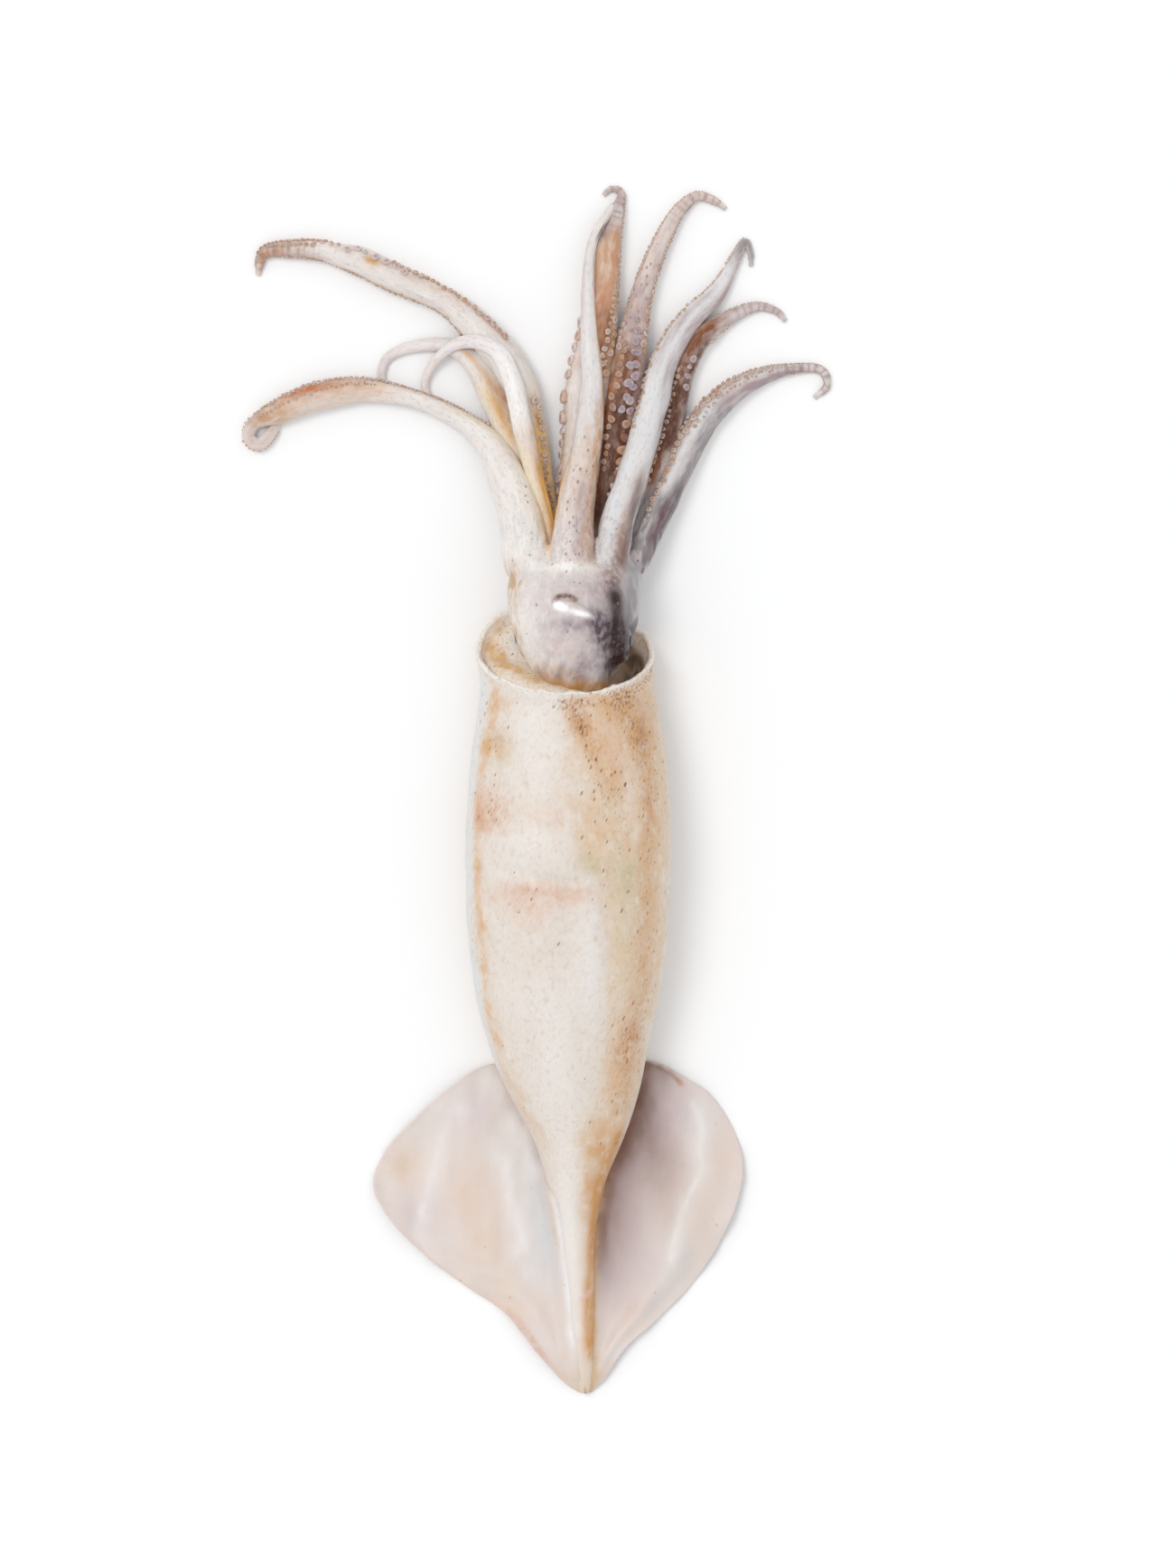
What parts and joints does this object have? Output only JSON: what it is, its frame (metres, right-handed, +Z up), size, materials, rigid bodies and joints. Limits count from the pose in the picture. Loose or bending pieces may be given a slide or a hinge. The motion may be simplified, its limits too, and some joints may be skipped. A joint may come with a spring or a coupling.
{
  "type": "whole raw squid",
  "caption": "Whole raw squid lying belly up: tapering mantle with tail fins, head with funnel and eyes, and curling arms with suckers.",
  "frame": {"origin": "bottom centre of the bounding box, on the surface the squid lies on", "axes": "+Y from the tail towards the arms, +Z up out of the belly"},
  "size_m": [0.1312, 0.2694, 0.03],
  "materials": {
    "flesh": "wet raw squid flesh, cream with a soft sheen",
    "mantle_skin": "wet cream skin with tan patches and small brown pigment spots",
    "fin_skin": "thin translucent pinkish mauve skin with a pale edge",
    "head_skin": "wet grey mauve skin, mottled, dark over the eye",
    "arm_skin": "wet whitish skin turning tan to dark brown on the inner side",
    "sucker": "pale lilac rings with brown middles",
    "eye": "dark wet eye under clear skin"
  },
  "bodies": {
    "root": {"squid": "flesh"}
  },
  "joints": []
}
